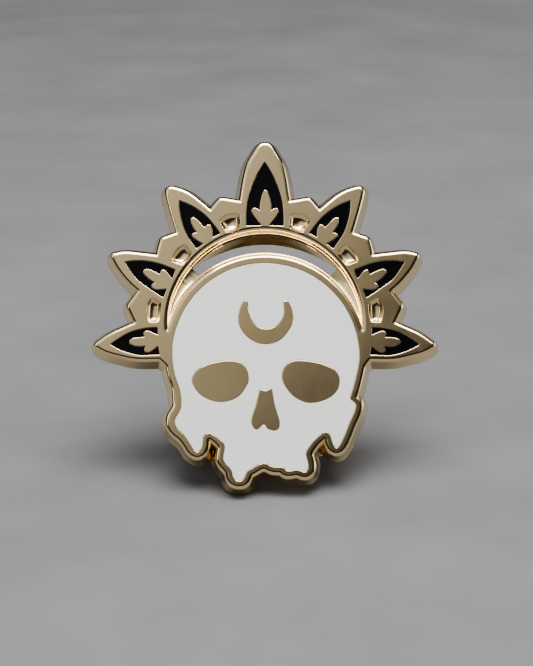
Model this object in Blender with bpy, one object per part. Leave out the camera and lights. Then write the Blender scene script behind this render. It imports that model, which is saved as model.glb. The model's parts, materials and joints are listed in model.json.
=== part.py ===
"""Enamel pin: a skull under a halo of seven lotus petals, leaning back on its two butterfly clutches.

A die-struck, gold-plated plate holds the hard enamel in pockets. Two posts stand on its back, and a
butterfly clutch with two sprung wings grips each post. Metres, +Z up. The design is drawn on the
plate's own plane: x to the right, y up the face, z out of the face, with z = 0 on the polished face.
"""

import math

import bmesh
import bpy
import numpy as np
from mathutils import Matrix, Vector

for old in list(bpy.data.objects):
    bpy.data.objects.remove(old, do_unlink=True)

MM = 1.0  # the pieces are cut at this scale, in millimetres, and brought to metres at the end
GRID = 0.1093 * MM  # the drawing's unit
STRETCH, NEARER = 1.0139, 9.0e-5  # the drawing is foreshortened by 1.4 %, and by a little more towards the top

# ---- driving dimensions, millimetres -------------------------------------------------------
LEAN = math.radians(29.0)  # how far the face leans back from upright
PLATE_T = 2.5  # thickness of the struck plate
POCKET_D = 0.7  # depth of the enamel pockets
PIT_D = 1.1  # depth of the six unfilled pits between the petals
ENAMEL_GAP = 0.03  # clearance of the enamel to its pocket, all round and below
ENAMEL_LOW = 0.015  # how far the polished enamel lies below the metal line
EDGE = [(0.0, 0.0), (-0.12, 0.22), (-0.42, 0.38), (-2.08, 0.87), (-2.5, 0.62)]  # height, offset
POST_X = 5.35  # the posts stand this far each side of the middle
POST_Y = -8.9  # and at this height on the face
POST_R, POST_L, FLANGE_R = 0.55, 7.6, 2.4
CLUTCH_OFF = 4.2  # plate back to clutch disc, with the spring in the post's groove
DISC_R = 5.1
WING_T = 0.4
HINGE_X, HINGE_Z = 2.3, 0.75  # wing fulcrum on the disc, from the post's axis and the disc's face

# ---- the drawing, in units of GRID, x right, y up, from the centre of the halo ring --------
# A third value of 1 marks a corner; the other points lie on smooth curves. The drawing shows the face leaning back.
TOP_PETAL = [(0, 181), (-4, 180), (-9.5, 172), (-15.5, 161.5), (-19.5, 146.5), (-22, 131.5)]
BUMP_A = [(-23.5, 122.5, 1), (-44, 126, 1), (-54.5, 113.5, 1)]
UPPER_PETAL = [(-64.5, 122), (-76.5, 131), (-88.5, 136), (-95.5, 137), (-97, 134), (-94, 119.5), (-90.5, 107)]
BUMP_B = [(-86, 92, 1), (-102.5, 86, 1), (-105.5, 75, 1), (-106.5, 68.5, 1)]
SIDE_PETAL = [(-123, 70.5), (-140.5, 72), (-152.5, 70, 1), (-145, 56.5), (-134.5, 43.5)]
BUMP_C = [(-124.5, 34.5, 1), (-136, 19, 1), (-128, 2, 1)]
LOW_PETAL = [(-141.5, -4), (-154.5, -10), (-169, -20, 1), (-159.5, -25.5), (-144, -30), (-129, -33), (-104.5, -33, 1)]

# Black enamel field of each petal, then the gold leaf that stands in it from the ring.
FIELDS = {
    "top": (
        [(-19, 99.5, 1), (-19, 110), (-18, 122), (-14.5, 135), (-8, 150.5), (0, 164, 1), (8, 150.5), (14.5, 135), (18, 122), (19, 110), (19, 99.5, 1)],
        [(4.2, 100, 1), (8.2, 104.9), (12.2, 110.5), (13.8, 115.7), (12.2, 117.3), (9, 116.8), (5.8, 114.5, 1), (6.1, 120), (5, 128), (2.1, 134.7), (0.2, 136), (-1.2, 134.4), (-3.4, 128), (-4.9, 120), (-4.6, 114.5, 1), (-7.8, 116.8), (-11.8, 117.3), (-13.4, 115.7), (-11, 109.7), (-7, 104.4), (-3, 100, 1)],
    ),
    "upper": (
        [(-68.5, 76.5, 1), (-79, 92.5), (-84, 107), (-86, 119), (-85.8, 125.4, 1), (-73.5, 120.2), (-64.6, 114.6), (-57.5, 108.5), (-51.2, 101.2), (-44.3, 92, 1)],
        [(-52.3, 87.9, 1), (-52.5, 92.3), (-52.8, 96.8), (-54.4, 99.9), (-56.6, 101), (-58.6, 99.9), (-60.2, 97.9, 1), (-61.9, 99.5), (-66, 103.9), (-70.4, 107.5), (-72.6, 108), (-74, 106.6), (-73.5, 103.5), (-71.8, 98.6), (-69.5, 95), (-67.7, 92.5, 1), (-70.9, 92.2), (-73, 91.5), (-73.3, 90.2), (-72.2, 88.6), (-69.1, 86.1), (-65.5, 83.8), (-61.3, 81.8, 1)],
    ),
    "side": (
        [(-101.7, 27.4, 1), (-116, 37), (-128.5, 46.5), (-140.4, 63.7, 1), (-131, 64.9), (-119.5, 64.7), (-106.6, 62.3), (-96.5, 58.7), (-89.2, 55.7, 1)],
        [(-92.9, 46.5, 1), (-96.5, 51.3), (-99.7, 54.5), (-102.7, 56), (-104.1, 54.5), (-104.6, 50.8, 1), (-109.4, 53.1), (-114.9, 55.5), (-119.5, 56.1), (-121.9, 54.5), (-121.3, 52.2), (-118.1, 48.5), (-113.5, 44.9), (-108.9, 42.6, 1), (-111.7, 41.9), (-113.8, 39.4), (-112.1, 37.1), (-108.9, 35.9), (-103.4, 36), (-97.9, 36.7, 1)],
    ),
    "low": (
        [(-104.9, -29.6, 1), (-126.3, -30.1), (-136.5, -27.8), (-146.2, -24.2), (-155, -19.2, 1), (-146.7, -13.5), (-134, -6.4), (-123.8, -3.6), (-114.6, -2.1), (-107.2, -1.9, 1)],
        [(-106.9, -9.7, 1), (-111.5, -7.9), (-116.1, -6), (-120, -6.1), (-121.5, -8.4), (-119.8, -12, 1), (-128.9, -12.5), (-134, -14), (-136, -16.6), (-134.5, -18.6), (-129.9, -20.7), (-124.8, -21.1), (-118.7, -20.9, 1), (-120.7, -23.7), (-120, -26.5), (-117.1, -27.2), (-113.6, -26), (-110.5, -23.7), (-106.7, -20.7, 1)],
    ),
}
PITS = {
    "top": [(-46, 104.3, 1), (-39.4, 109.5), (-32.5, 111.5), (-25.6, 111, 1), (-24.5, 98.1, 1), (-30, 94.8), (-37.6, 92.8, 1)],
    "upper": [(-93.5, 64.5, 1), (-90.5, 71.5), (-85.5, 78), (-80, 80.8, 1), (-73, 72, 1), (-76.5, 65.5), (-82.5, 60.3, 1)],
    "low": [(-113, 27.6, 1), (-104, 22.5, 1), (-104.6, 12), (-106.2, 3.5, 1), (-116.3, 3.3, 1), (-117.9, 14.8), (-116.5, 22)],
}

# The skull's white enamel: cranium, left cheek, jaw and teeth, right cheek. Then its gold islands.
WHITE = [
    (-0.5, 62.3), (-32.5, 56.5), (-54.7, 44.5), (-68.3, 32.5), (-77.7, 20.5), (-84.4, 8.5), (-88.9, -3.5), (-91.8, -15.5), (-92.5, -33.5), (-90, -50), (-85, -65),
    (-83.5, -80.5), (-85.5, -87), (-89.5, -93.5), (-90, -98), (-88.5, -102), (-81, -110), (-74, -120.5), (-71, -125), (-67.5, -127), (-64.5, -125),
    (-62.5, -120), (-62, -114), (-60, -109.5), (-55.5, -108), (-51, -110), (-44, -115.5), (-40, -121), (-40.5, -126), (-41.5, -134), (-39.5, -138.5),
    (-36.5, -141.5), (-33, -146.5), (-31.5, -152.5), (-29, -155.5), (-22.5, -155.5), (-20, -151.5), (-17.5, -146.5), (-11, -142.5), (-3.5, -138.5), (1.5, -138.5),
    (8, -141.5), (18.5, -142, 1), (21.5, -145.5), (26.5, -145.5), (31.5, -144.5), (35.5, -145.5), (39.5, -147), (42.5, -145.5), (43.5, -140), (42, -133),
    (41, -128), (44, -122.5), (49, -116), (55.5, -110), (60.5, -106.5), (63, -107.5), (66, -112), (68, -118.5), (71, -123), (74, -121.5),
    (79.5, -111), (84, -99.5), (90, -85.5), (91, -79), (85, -74, 1), (90.5, -54.5), (94.2, -36), (94, -21.5), (90.2, -3.5), (85.4, 8.5),
    (78.7, 20.5), (68.9, 32.5), (55.3, 44.5), (32.3, 56.5),
]
EYE_L = [(-73, -54.5), (-68, -45.5), (-56, -39), (-38.5, -35.5), (-25.5, -37), (-18.5, -44), (-16, -54.5), (-19.5, -63), (-27, -72), (-41.5, -77), (-57.5, -74), (-68, -66)]
EYE_R = [(17, -51.5), (19.5, -42.5), (27.5, -36), (40.5, -35.5), (58.5, -39), (70, -45), (75, -54.5), (72, -66), (62.5, -74), (45, -78), (32, -73.5), (21.5, -63)]
NOSE = [(-5, -64, 1), (0.5, -65.5), (7, -62.5, 1), (10, -80), (15, -100.5), (11.5, -105.5), (2.5, -103.5), (-0.5, -99), (-8.5, -105), (-13.5, -97.5), (-9, -80)]
MOON = [
    (-19.6, 25), (-22.7, 21.3), (-25.2, 15.2), (-26.6, 8), (-25.6, 0), (-21.4, -7.6), (-14.7, -14), (-7.2, -17.9), (0.9, -19.2), (9, -18),
    (16.2, -14.2), (22.4, -7.6), (26.8, 0), (28.3, 7.8), (27.2, 15.2), (24.6, 21.3), (21.6, 25), (19.4, 24.6), (18.7, 21), (19.3, 15.8),
    (18.3, 8.8), (14.8, 2.6), (8.9, -2), (0.6, -3.7), (-6.8, -1.6), (-12.4, 4), (-15.8, 10.6), (-17.2, 16.6), (-16.7, 21.4), (-17.6, 24.6),
]
# The slot between ring and skull, on the plate itself: both edges are arcs, and each horn ends in a round tip.
RING_R = 100.7  # the halo ring's inner edge, centred on the drawing
CRANIUM_Y, CRANIUM_R = -27.5, 97.1  # the top of the skull
HORN_Y = -4.6
# The slot is a groove 1 mm deep. Between two rays from the skull's centre a window goes right through its floor.
GROOVE_D = 1.0
WINDOW, WINDOW_R = math.radians(50), 115.0
GOLD_LINE = 4.8  # width of the polished line round the skull


def opened(point):
    """The drawing shows the face as it looks leaning back: this opens a point out to its true place on the plate."""
    x, y = point[:2]
    return Vector((x * (1 + NEARER * y), y * (STRETCH + NEARER * y)))


def curve(points, step=0.5, closed=True):
    """A smooth line through the points, broken at each corner."""
    n = len(points)
    pos = [opened(p) for p in points]
    sharp = [len(p) > 2 for p in points]
    line = []
    for i in range(n if closed else n - 1):
        b, c = pos[i], pos[(i + 1) % n]
        a = b - (c - b) if sharp[i] or (not closed and i == 0) else pos[i - 1]
        d = c + (c - b) if sharp[(i + 1) % n] or (not closed and i == n - 2) else pos[(i + 2) % n]
        t1 = max((b - a).length, 1e-6) ** 0.5
        t2 = t1 + max((c - b).length, 1e-6) ** 0.5
        t3 = t2 + max((d - c).length, 1e-6) ** 0.5
        steps = max(2, round((c - b).length / step))
        for k in range(steps):
            t = t1 + (t2 - t1) * k / steps
            a1 = a * ((t1 - t) / t1) + b * (t / t1)
            a2 = b * ((t2 - t) / (t2 - t1)) + c * ((t - t1) / (t2 - t1))
            a3 = c * ((t3 - t) / (t3 - t2)) + d * ((t - t2) / (t3 - t2))
            b1 = a1 * ((t2 - t) / t2) + a2 * (t / t2)
            b2 = a2 * ((t3 - t) / (t3 - t1)) + a3 * ((t - t1) / (t3 - t1))
            line.append(tuple(b1 * ((t2 - t) / (t2 - t1)) + b2 * ((t - t1) / (t2 - t1))))
    if not closed:
        line.append(tuple(pos[-1]))
    return line


def arc(centre, radius, start, end, n):
    return [
        (centre[0] + radius * math.cos(start + (end - start) * k / n), centre[1] + radius * math.sin(start + (end - start) * k / n))
        for k in range(n + 1)
    ]


def slot_line(grow, n):
    """The slot's edge with its walls moved in by grow, counterclockwise. Where the walls meet, the horns end in a point."""
    ring, skull, c = RING_R - grow, CRANIUM_R + grow, CRANIUM_Y
    end = max(HORN_Y, (ring * ring - skull * skull + c * c) / (2 * c))
    a = math.sqrt(ring * ring - end * end)
    b = min(math.sqrt(skull * skull - (end - c) ** 2), a)
    turn, back = math.atan2(end, a), math.atan2(end - c, b)
    tip = [(math.cos(math.pi * (1 + k / 8)) * (a - b) / 2, end + math.sin(math.pi * (1 + k / 8)) * (a - b) / 2) for k in range(1, 8)]
    left = [(x - (a + b) / 2, y) for x, y in tip]
    right = [(x + (a + b) / 2, y) for x, y in tip]
    return arc((0, 0), ring, turn, math.pi - turn, n) + left + arc((0, c), skull, math.pi - back, back, n) + right


def window_line(t, skull_in, n):
    """The edge of the window, the middle of the slot that goes right through, at t of the way down its outer wall."""
    ring, skull, c = RING_R - 7.2, CRANIUM_R + skull_in, CRANIUM_Y
    outer = []
    for k in range(n + 1):
        a = WINDOW + (math.pi - 2 * WINDOW) * k / n
        top = max(WINDOW_R, math.sqrt(ring * ring - (c * math.cos(a)) ** 2) - c * math.sin(a))
        r = top + (WINDOW_R - 0.6 - top) * t
        outer.append((r * math.cos(a), c + r * math.sin(a)))
    return outer + arc((0, c), skull, math.pi - WINDOW, WINDOW, n)


def mirrored(points):
    return [(-p[0],) + tuple(p[1:]) for p in reversed(points)]


def rounded(line, radius):
    """The closed line evenly stepped, with its corners eased to about this radius."""
    p = np.array(line, float)
    q = np.vstack([p, p[:1]])
    length = np.concatenate([[0], np.cumsum(np.hypot(*np.diff(q, axis=0).T))])
    n = int(length[-1] / 0.5)
    at = np.arange(n) * length[-1] / n
    even = np.stack([np.interp(at, length, q[:, k]) for k in (0, 1)], 1)
    reach = int(4 * radius / 0.5) + 1
    weight = np.exp(-0.5 * (np.arange(-reach, reach + 1) * 0.5 / radius) ** 2)
    weight /= weight.sum()
    return sum(w * np.roll(even, k, axis=0) for w, k in zip(weight, range(-reach, reach + 1)))


def normals_of(p):
    t = np.roll(p, -1, 0) - np.roll(p, 1, 0)
    t /= np.maximum(np.hypot(t[:, 0], t[:, 1]), 1e-12)[:, None]
    return np.stack([t[:, 1], -t[:, 0]], 1)


def thinned(p, tolerance):
    """The fewest points of a closed line that keep its shape within the tolerance."""
    keep = {0, len(p) // 2}
    stack = [(0, len(p) // 2), (len(p) // 2, len(p))]
    while stack:
        a, b = stack.pop()
        if b - a < 2:
            continue
        start, end = p[a], p[b % len(p)]
        chord = end - start
        size = max(np.hypot(*chord), 1e-9)
        off = np.abs(chord[0] * (p[a + 1 : b, 1] - start[1]) - chord[1] * (p[a + 1 : b, 0] - start[0])) / size
        k = int(off.argmax())
        if off[k] > tolerance:
            keep.add(a + 1 + k)
            stack += [(a, a + 1 + k), (a + 1 + k, b)]
    return np.array(sorted(keep))


def nearest(q, p):
    """For each q, the nearest point of the closed line p."""
    a, b = p, np.roll(p, -1, 0)
    ab = b - a
    best = np.empty_like(q)
    for i in range(0, len(q), 400):
        part = q[i : i + 400, None, :]
        t = np.clip(((part - a) * ab).sum(2) / np.maximum((ab * ab).sum(1), 1e-12), 0, 1)
        foot = a + t[..., None] * ab
        k = ((foot - part) ** 2).sum(2).argmin(1)
        best[i : i + 400] = foot[np.arange(len(k)), k]
    return best


def pushed(p, out, d):
    """The closed line p moved out by d; the points that meet in an inside corner become one point there."""
    if abs(d) < 1e-9:
        return p.copy()
    q = p + out * d
    for _ in range(80):
        foot = nearest(q, p)
        away = q - foot
        size = np.hypot(away[:, 0], away[:, 1])
        short = size < abs(d) * 0.9995
        if not short.any():
            break
        q[short] = foot[short] + away[short] / np.maximum(size[short], 1e-9)[:, None] * abs(d)
    slid = np.hypot(*(q - p).T) > abs(d) * 1.01
    if slid.any() and not slid.all():
        first = int(np.flatnonzero(~slid)[0])
        run = []
        for k in range(first, first + len(p) + 1):
            j = k % len(p)
            if slid[j]:
                run.append(j)
            elif run:
                q[run] = q[run].mean(0)
                run = []
    return q


def loop_of(points, radius=1.0, tolerance=0.25):
    fine = rounded(curve(points), radius)
    keep = thinned(fine, tolerance)
    return fine[keep], normals_of(fine)[keep]


def oriented(p, n):
    area = 0.5 * (p[:, 0] * np.roll(p[:, 1], -1) - np.roll(p[:, 0], -1) * p[:, 1]).sum()
    return (p, n) if area > 0 else (p[::-1].copy(), -n[::-1])


# ---- materials ------------------------------------------------------------------------------
def material(name, color, rough, metallic, coat=0.0):
    m = bpy.data.materials.new(name)
    m.use_nodes = True
    s = m.node_tree.nodes["Principled BSDF"].inputs
    s["Base Color"].default_value = (*color, 1)
    s["Roughness"].default_value = rough
    s["Metallic"].default_value = metallic
    s["Coat Weight"].default_value = coat
    m.diffuse_color = (*color, 1)
    return m


GOLD = material("plated_gold", (0.80, 0.62, 0.36), 0.16, 1.0)
WHITE_ENAMEL = material("white_enamel", (0.74, 0.74, 0.72), 0.12, 0.0, 0.5)
BLACK_ENAMEL = material("black_enamel", (0.006, 0.006, 0.008), 0.08, 0.0, 0.5)
CLUTCH_METAL = material("clutch_metal", (0.78, 0.60, 0.33), 0.24, 1.0)
POST_METAL = material("post_metal", (0.80, 0.62, 0.36), 0.2, 1.0)


# ---- mesh helpers ---------------------------------------------------------------------------
def add(name, mesh, mat, parent=None, smooth=None):
    mesh.name = name
    mesh.materials.clear()
    mesh.materials.append(mat)
    obj = bpy.data.objects.new(name, mesh)
    bpy.context.scene.collection.objects.link(obj)
    obj.parent = parent
    if smooth:
        mesh.shade_smooth()
        mesh.set_sharp_from_angle(angle=math.radians(smooth))
    return obj


def finish_mesh(bm, name, weld=2e-4):
    bmesh.ops.remove_doubles(bm, verts=bm.verts, dist=weld)
    bmesh.ops.triangulate(bm, faces=[f for f in bm.faces if len(f.verts) > 4], ngon_method="EAR_CLIP")
    bmesh.ops.recalc_face_normals(bm, faces=bm.faces)
    mesh = bpy.data.meshes.new(name)
    bm.to_mesh(mesh)
    bm.free()
    return mesh


def lofted(name, rings):
    """A closed body through rings of equal count, given as (points in GRID units, height in mm)."""
    bm = bmesh.new()
    rows = [[bm.verts.new((x * GRID, y * GRID, z * MM)) for x, y in ring] for ring, z in rings]
    n = len(rows[0])
    for a, b in zip(rows, rows[1:]):
        for j in range(n):
            bm.faces.new((a[j], b[j], b[(j + 1) % n], a[(j + 1) % n]))
    bm.faces.new(rows[0])
    bm.faces.new(rows[-1][::-1])
    return finish_mesh(bm, name)


def prism(name, loops, low, high):
    """A straight-walled plate between two heights, with holes where loops lie inside loops."""
    shape = bpy.data.curves.new(name, "CURVE")
    shape.dimensions = "2D"
    shape.fill_mode = "BOTH"
    shape.extrude = (high - low) / 2 * MM
    for loop in loops:
        spline = shape.splines.new("POLY")
        spline.points.add(len(loop) - 1)
        for point, (x, y) in zip(spline.points, loop):
            point.co = (x * GRID, y * GRID, 0, 1)
        spline.use_cyclic_u = True
    holder = bpy.data.objects.new(name + "_curve", shape)
    bpy.context.scene.collection.objects.link(holder)
    bpy.context.view_layer.update()
    raw = bpy.data.meshes.new_from_object(holder.evaluated_get(bpy.context.evaluated_depsgraph_get()))
    bm = bmesh.new()
    bm.from_mesh(raw)
    bmesh.ops.translate(bm, verts=bm.verts, vec=(0, 0, (low + high) / 2 * MM))
    bpy.data.objects.remove(holder, do_unlink=True)
    bpy.data.meshes.remove(raw)
    return finish_mesh(bm, name, 1e-4)


def turned(name, profile, n):
    """A closed profile of (radius, height) in millimetres, turned about z."""
    bm = bmesh.new()
    rows = []
    for r, z in profile:
        if r < 1e-6:
            rows.append([bm.verts.new((0, 0, z * MM))] * n)
        else:
            rows.append([bm.verts.new((r * MM * math.cos(2 * math.pi * k / n), r * MM * math.sin(2 * math.pi * k / n), z * MM)) for k in range(n)])
    for a, b in zip(rows, rows[1:] + rows[:1]):
        if len(set(a)) == 1 and len(set(b)) == 1:
            continue
        for k in range(n):
            face = []
            for v in (a[k], b[k], b[(k + 1) % n], a[(k + 1) % n]):
                if v not in face:
                    face.append(v)
            bm.faces.new(face)
    return finish_mesh(bm, name)


def cutter(name, mesh):
    obj = bpy.data.objects.new(name, mesh)
    bpy.context.scene.collection.objects.link(obj)
    obj.parent = pin
    obj.hide_render = True
    obj.display_type = "WIRE"
    return obj


def cut(obj, tool, operation="DIFFERENCE"):
    m = obj.modifiers.new(tool.name, "BOOLEAN")
    m.operation = operation
    m.solver = "MANIFOLD"  # the exact one leaves open slivers in the rounded notches
    m.object = tool


# ---- the pin's own plane, leaning back ------------------------------------------------------
pin = bpy.data.objects.new("pin_frame", None)
bpy.context.scene.collection.objects.link(pin)
pin.rotation_euler = (math.pi / 2 - LEAN, 0, 0)

# ---- plate ----------------------------------------------------------------------------------
white_fine = rounded(curve(WHITE), 0.8)
white_out = normals_of(white_fine)
line = GOLD_LINE + 1.6 * np.clip((-white_fine[:, 0] - 76) / 8, 0, 1) * np.clip((-60 - white_fine[:, 1]) / 12, 0, 1)
jaw_all = white_fine + white_out * line[:, None]
for _ in range(60):
    foot = nearest(jaw_all, white_fine)
    away = jaw_all - foot
    size = np.hypot(away[:, 0], away[:, 1])
    short = size < line * 0.999
    jaw_all[short] = foot[short] + away[short] / size[short][:, None] * line[short][:, None]
jaw = [tuple(p) for p in jaw_all[(white_fine[:, 1] < -40)]]

halo_left = TOP_PETAL + BUMP_A + UPPER_PETAL + BUMP_B + SIDE_PETAL + BUMP_C + LOW_PETAL
halo = curve(mirrored(halo_left)[:-1] + halo_left, closed=False)
face_fine = rounded(halo + jaw, 1.0)
keep = thinned(face_fine, 0.22)
face, face_out = face_fine[keep], normals_of(face_fine)[keep]
plate = add("base_plate", lofted("base_plate", [(pushed(face, face_out, off / 0.1093), z) for z, off in EDGE]), GOLD, pin, 30)

groove = [(0.4, -0.3)] + [(z, off) for z, off in EDGE if z > -0.9] + [(-GROOVE_D, 0.5)]
cut(plate, cutter("cut_groove", lofted("cut_groove", [(slot_line(off / 0.1093, 40), z) for z, off in groove])))
window = [(0, 5.5, -0.85), (0, 5.5, -GROOVE_D), (1, 7.8, -PLATE_T), (1, 7.8, -3.0)]
cut(plate, cutter("cut_window", lofted("cut_window", [(window_line(t, grow, 40), z) for t, grow, z in window])))

white_p, white_n = oriented(*loop_of(WHITE, 0.8))
islands = {
    "eye_left": oriented(*loop_of(EYE_L)),
    "eye_right": oriented(*loop_of(EYE_R)),
    "nose": oriented(*loop_of(NOSE, 0.8)),
}
islands["moon"] = oriented(*loop_of(MOON, 0.6, 0.2))

shrink = ENAMEL_GAP / 0.1093
cut(plate, cutter("cut_white", prism("cut_white", [white_p] + [p for p, _ in islands.values()], -POCKET_D, 0.5)))
add(
    "white_enamel",
    prism(
        "white_enamel",
        [pushed(white_p, white_n, -shrink)] + [pushed(p, n, shrink) for p, n in islands.values()],
        -POCKET_D + ENAMEL_GAP,
        -ENAMEL_LOW,
    ),
    WHITE_ENAMEL,
    pin,
)

for key, (field, leaf) in FIELDS.items():
    for side, flip in (("left", False), ("right", True)):
        if key == "top" and flip:
            continue
        corners = field + leaf
        p, n = oriented(*loop_of(mirrored(corners) if flip else corners, 0.7, 0.2))
        name = "petal_top" if key == "top" else f"petal_{key}_{side}"
        cut(plate, cutter("cut_" + name, prism("cut_" + name, [p], -POCKET_D, 0.5)))
        add("black_enamel_" + name, prism("black_enamel_" + name, [pushed(p, n, -shrink)], -POCKET_D + ENAMEL_GAP, -ENAMEL_LOW), BLACK_ENAMEL, pin)

for key, corners in PITS.items():
    for side, flip in (("left", False), ("right", True)):
        p, n = oriented(*loop_of(mirrored(corners) if flip else corners, 1.6))
        cut(plate, cutter(f"cut_pit_{key}_{side}", lofted("pit", [(pushed(p, n, 0.8), 0.3), (p, 0.0), (pushed(p, n, -1.0), -0.35), (pushed(p, n, -2.4), -PIT_D)])))

# ---- posts ----------------------------------------------------------------------------------
# From here z runs backwards, away from the cloth side of the plate, in a frame on each post's axis.
POST_PROFILE = [
    (0, 0.03), (FLANGE_R - 0.1, 0.03), (FLANGE_R, 0.12), (FLANGE_R, 0.38), (FLANGE_R - 0.14, 0.5), (1.0, 0.54), (0.72, 0.66), (POST_R, 0.95),
    (POST_R, CLUTCH_OFF + 0.72), (POST_R - 0.12, CLUTCH_OFF + 0.86), (POST_R - 0.12, CLUTCH_OFF + 1.14), (POST_R, CLUTCH_OFF + 1.28),
    (POST_R, POST_L - 1.5), (POST_R * 0.62, POST_L - 0.6), (0.1, POST_L - 0.04), (0, POST_L),
]
# ---- clutches -------------------------------------------------------------------------------
DISC_PROFILE = [
    (0.75, 0.0), (3.2, 0.0), (4.3, 0.05), (4.85, 0.16), (DISC_R, 0.5), (4.96, 0.84), (4.62, 0.95), (4.32, 0.82), (4.1, 0.6),
    (3.3, 0.6), (3.15, 0.3), (0.75, 0.3),
]
WING_LINE = [  # distance from the post's axis, height above the disc's face, half width
    (0.68, 0.95, 2.6), (1.3, 0.95, 2.75), (2.05, 0.95, 2.75), (2.5, 1.08, 2.6), (2.74, 1.5, 2.35), (2.86, 2.2, 2.3), (3.02, 3.0, 2.6),
    (3.28, 3.85, 3.2), (3.68, 4.65, 3.75), (4.18, 5.35, 3.95), (4.6, 5.8, 3.6), (4.88, 6.05, 2.8), (5.05, 6.18, 1.6),
]


def wing_mesh(name, side):
    """A pressed strip with rounded ears: its flat root lies on the disc, and its outer end is the finger grip."""
    spine = np.array([(a, b) for a, b, _ in WING_LINE])
    t = np.gradient(spine, axis=0)
    t /= np.hypot(t[:, 0], t[:, 1])[:, None]
    nrm = np.stack([-t[:, 1], t[:, 0]], 1)
    across = (-1.0, -0.72, -0.36, 0.0, 0.36, 0.72, 1.0)
    bm = bmesh.new()
    sheets = []
    for face in (-0.5, 0.5):
        sheet = []
        for i, (x, z, half) in enumerate(WING_LINE):
            row = []
            for a in across:
                bite = 0.62 * math.sqrt(max(0.0, 1 - (a * half / 0.95) ** 2)) - 0.2 if i == 0 and abs(a * half) < 0.95 else 0.0
                px = x + nrm[i, 0] * face * WING_T + max(bite, 0.0)
                pz = z + nrm[i, 1] * face * WING_T
                row.append(bm.verts.new((side * (px - HINGE_X) * MM, a * half * MM, (pz - HINGE_Z) * MM)))
            sheet.append(row)
        sheets.append(sheet)
    low, high = sheets
    m, n = len(WING_LINE), len(across)
    for i in range(m - 1):
        for j in range(n - 1):
            bm.faces.new((low[i][j], low[i][j + 1], low[i + 1][j + 1], low[i + 1][j]))
            bm.faces.new((high[i][j], high[i + 1][j], high[i + 1][j + 1], high[i][j + 1]))
    for i in range(m - 1):
        for j in (0, n - 1):
            bm.faces.new((low[i][j], low[i + 1][j], high[i + 1][j], high[i][j]))
    for j in range(n - 1):
        for i in (0, m - 1):
            bm.faces.new((low[i][j], high[i][j], high[i][j + 1], low[i][j + 1]))
    bmesh.ops.triangulate(bm, faces=bm.faces)
    return finish_mesh(bm, name)


def box(name, low, high):
    bm = bmesh.new()
    bmesh.ops.create_cube(bm, size=1)
    low, high = Vector(low), Vector(high)
    for v in bm.verts:
        v.co = Vector((low[k] + (high[k] - low[k]) * (v.co[k] + 0.5) for k in range(3))) * MM
    return finish_mesh(bm, name)


for side, sx in (("left", -1), ("right", 1)):
    axis = bpy.data.objects.new(f"post_axis_{side}", None)
    bpy.context.scene.collection.objects.link(axis)
    axis.parent = pin
    axis.location = (sx * POST_X * MM, POST_Y * MM, -PLATE_T * MM)
    axis.rotation_euler = (0, math.pi, 0)
    add(f"post_{side}", turned(f"post_{side}", POST_PROFILE, 24), POST_METAL, axis, 35)

    clutch = bpy.data.objects.new(f"clutch_{side}", None)
    bpy.context.scene.collection.objects.link(clutch)
    clutch.parent = axis
    clutch.location = (0, 0, CLUTCH_OFF * MM)
    base = add(f"clutch_base_{side}", turned(f"clutch_base_{side}", DISC_PROFILE, 40), CLUTCH_METAL, clutch, 35)
    for end in (-1, 1):  # the two crimped tabs that keep the wings' roots down
        low_y, high_y = sorted((end * 3.0, end * 3.45))
        wall = cutter(f"tab_wall_{side}_{end + 1}", box("tab", (-1.5, low_y, 0.2), (1.5, high_y, 1.8)))
        low_y, high_y = sorted((end * 1.9, end * 3.45))
        lip = cutter(f"tab_lip_{side}_{end + 1}", box("lip", (-1.5, low_y, 1.4), (1.5, high_y, 1.8)))
        for tab in (wall, lip):
            tab.parent = clutch
            cut(base, tab, "UNION")
    # The clutch frame is turned about y, so its +x looks to the pin's left.
    for place, sign in (("outer", -sx), ("inner", sx)):
        wing = add(f"clutch_wing_{side}_{place}", wing_mesh("wing", sign), CLUTCH_METAL, clutch, 35)
        wing.location = (sign * HINGE_X * MM, 0, HINGE_Z * MM)

# ---- keep the cut shapes, drop the cutters, and bring everything to metres ------------------
bpy.context.view_layer.update()
graph = bpy.context.evaluated_depsgraph_get()
shapes = [o for o in bpy.context.scene.collection.objects if o.type == "MESH" and not o.hide_render]
for obj in shapes:
    if obj.modifiers:
        whole = bpy.data.meshes.new_from_object(obj.evaluated_get(graph))
        whole.name = obj.name
        obj.modifiers.clear()
        obj.data = whole
for obj in [o for o in bpy.data.objects if o.hide_render]:
    bpy.data.objects.remove(obj, do_unlink=True)
for mesh in {obj.data for obj in shapes}:
    mesh.transform(Matrix.Scale(0.001, 4))
for obj in bpy.data.objects:
    obj.location *= 0.001

# ---- stand the pin on the ground, centred ---------------------------------------------------
bpy.context.view_layer.update()
low, high = Vector((1, 1, 1)), Vector((-1, -1, -1))
for obj in shapes:
    for v in obj.data.vertices:
        w = obj.matrix_world @ v.co
        low = Vector(map(min, low, w))
        high = Vector(map(max, high, w))
pin.location = (-(low.x + high.x) / 2, -(low.y + high.y) / 2, -low.z)
bpy.context.view_layer.update()
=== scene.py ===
"""Looks of the enamel pin: the struck plate with its rounded edges, the enamel fills, posts and clutches."""

import json
import math

import bmesh
import bpy
import numpy as np
from mathutils import Matrix, Vector
from mathutils.geometry import delaunay_2d_cdt


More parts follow.
